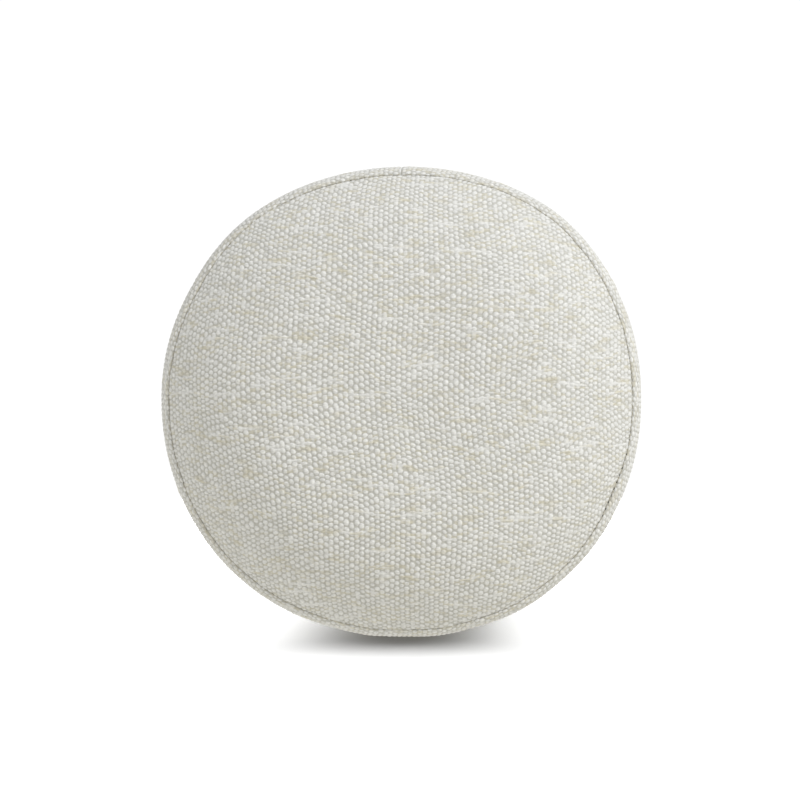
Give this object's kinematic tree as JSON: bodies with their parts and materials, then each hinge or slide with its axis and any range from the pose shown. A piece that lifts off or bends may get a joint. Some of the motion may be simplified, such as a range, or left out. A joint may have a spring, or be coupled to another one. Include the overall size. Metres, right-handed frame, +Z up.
{
  "type": "bolster pillow",
  "caption": "Round bolster pillow with crowned ends: zipped woven cover, sliding zip pull, and a foam-cored insert with wadding in an inner casing.",
  "frame": {"origin": "centre of the flat strip that the bolster lies on, midway between its ends", "axes": "+Y along the bolster towards its rear end, where the zip closes; +Z up; +X across, to the right seen from the front end"},
  "size_m": [0.2036, 0.61, 0.202],
  "materials": {
    "cover": "chunky slubbed plain weave, off-white over beige",
    "thread": "spun polyester sewing thread",
    "zip_tape": "woven tape",
    "zip_coil": "nylon",
    "zip_metal": "enamelled die casting",
    "label": "satin ribbon, blank",
    "casing": "plain cotton",
    "wadding": "bonded polyester wadding",
    "foam": "open-cell foam"
  },
  "bodies": {
    "bolster": {"barrel_panel": "cover", "front_end_panel": "cover", "rear_end_panel": "cover", "front_seam_thread": "thread", "rear_seam_thread": "thread", "front_seam_overlock": "thread", "rear_seam_overlock": "thread", "barrel_seam_front": "thread", "barrel_seam_rear": "thread", "zip_tape_left": "zip_tape", "zip_tape_right": "zip_tape", "zip_coil_left": "zip_coil", "zip_coil_right": "zip_coil", "zip_stitch_left": "thread", "zip_stitch_right": "thread", "zip_top_stop_left": "zip_metal", "zip_top_stop_right": "zip_metal", "zip_bottom_stop": "zip_metal", "casing_barrel": "casing", "casing_front": "casing", "casing_rear": "casing", "casing_front_seam": "thread", "casing_rear_seam": "thread", "casing_closing_seam": "thread", "wadding_wrap": "wadding", "wadding_pad_front": "wadding", "wadding_pad_rear": "wadding", "foam_core": "foam", "care_label": "label"},
    "slider": {"zip_slider": "zip_metal"},
    "pull": {"zip_pull": "zip_metal"}
  },
  "joints": [
    {"name": "slider_slide", "type": "slide", "parent": "bolster", "child": "slider", "axis": [0, -1, 0], "range_m": [0, 0.446]},
    {"name": "pull_hinge", "type": "hinge", "parent": "slider", "child": "pull", "pos_m": [0, 0.2232, 0.2005], "axis": [1, 0, 0], "range_deg": [0, 180]}
  ]
}
